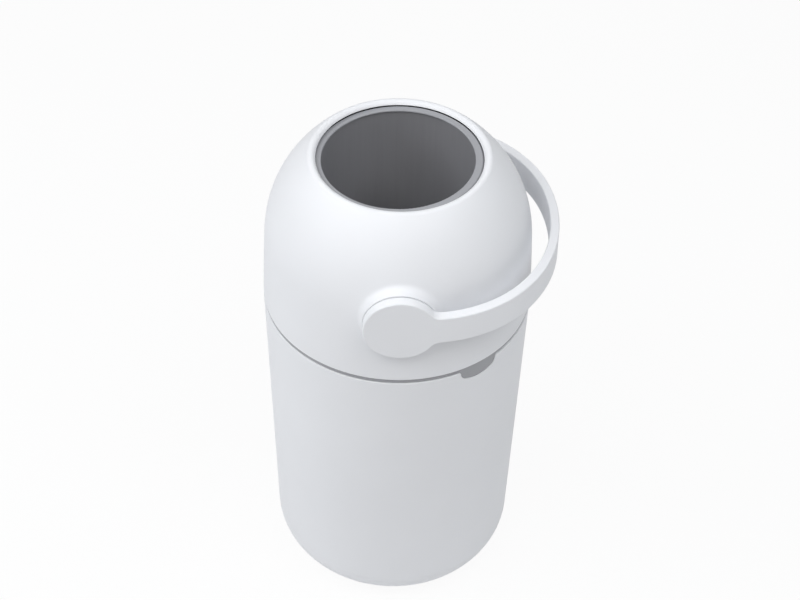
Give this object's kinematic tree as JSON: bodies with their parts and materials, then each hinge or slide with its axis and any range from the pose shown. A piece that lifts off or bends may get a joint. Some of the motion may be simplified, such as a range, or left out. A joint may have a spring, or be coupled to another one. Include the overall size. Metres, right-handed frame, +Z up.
{
  "type": "nappy bin",
  "caption": "Tall round nappy bin with a domed head, a drum that a strap handle turns over, a loose piston in its barrel and a hinged head with a thumb latch.",
  "frame": {"origin": "on the floor, on the vertical axis of the bin, at the middle of the base pad", "axes": "+Z up along the bin's axis, +X towards the resting handle, hub axis along Y with the front hub at -Y"},
  "size_m": [0.3036, 0.3024, 0.5526],
  "materials": {
    "white_shell": "white moulded plastic, fine satin",
    "grey_trim": "mid grey moulded plastic, satin",
    "inner_grey": "light grey moulded plastic",
    "dark_barrel": "dark grey moulded plastic, satin",
    "rubber": "soft black rubber",
    "acetal": "natural acetal",
    "steel": "bright zinc plated steel"
  },
  "bodies": {
    "bin": {"bin_body": "white_shell", "base_pad": "rubber", "seam_ring": "grey_trim", "bag_ring": "inner_grey", "hinge_pin": "steel", "latch_housing": "inner_grey"},
    "latch": {"latch_button": "grey_trim", "latch_springs": "steel"},
    "head": {"head_shell": "white_shell", "drum_cradle": "inner_grey", "cradle_screws": "steel", "latch_striker": "acetal", "rim_gasket": "rubber", "upper_drum_seal": "rubber", "lower_drum_seal": "rubber", "front_bush": "acetal", "rear_bush": "acetal", "front_hub_seal": "rubber", "rear_hub_seal": "rubber"},
    "drum": {"upper_drum_shell": "grey_trim", "lower_drum_shell": "grey_trim", "drum_screws": "steel", "barrel": "dark_barrel", "top_rim_ring": "grey_trim", "bottom_rim_ring": "grey_trim", "front_spindle": "acetal", "rear_spindle": "acetal", "spindle_screws": "steel", "handle": "white_shell"},
    "piston": {"piston_body": "dark_barrel", "piston_top_cap": "dark_barrel", "piston_bottom_cap": "dark_barrel", "piston_weight": "steel", "weight_screws": "steel", "piston_seals": "rubber"}
  },
  "joints": [
    {"name": "head_tilt", "type": "hinge", "parent": "bin", "child": "head", "pos_m": [-0.08345, 0.11613, 0.3771], "axis": [-0.8121, -0.5835, 0], "range_deg": [0, 80]},
    {"name": "handle_turn", "type": "hinge", "parent": "head", "child": "drum", "pos_m": [0, 0, 0.456], "axis": [0, -1, 0], "range_deg": [0, 178]},
    {"name": "piston_slide", "type": "slide", "parent": "drum", "child": "piston", "axis": [-0.0175, 0, 0.9998], "range_m": [0, 0.1518]},
    {"name": "latch_push", "type": "slide", "parent": "bin", "child": "latch", "axis": [-0.5835, 0.8121, 0], "range_m": [0, 0.003], "stiffness_N_per_m": 1000, "springref_m": -0.003, "deforming": ["latch_springs"]}
  ]
}
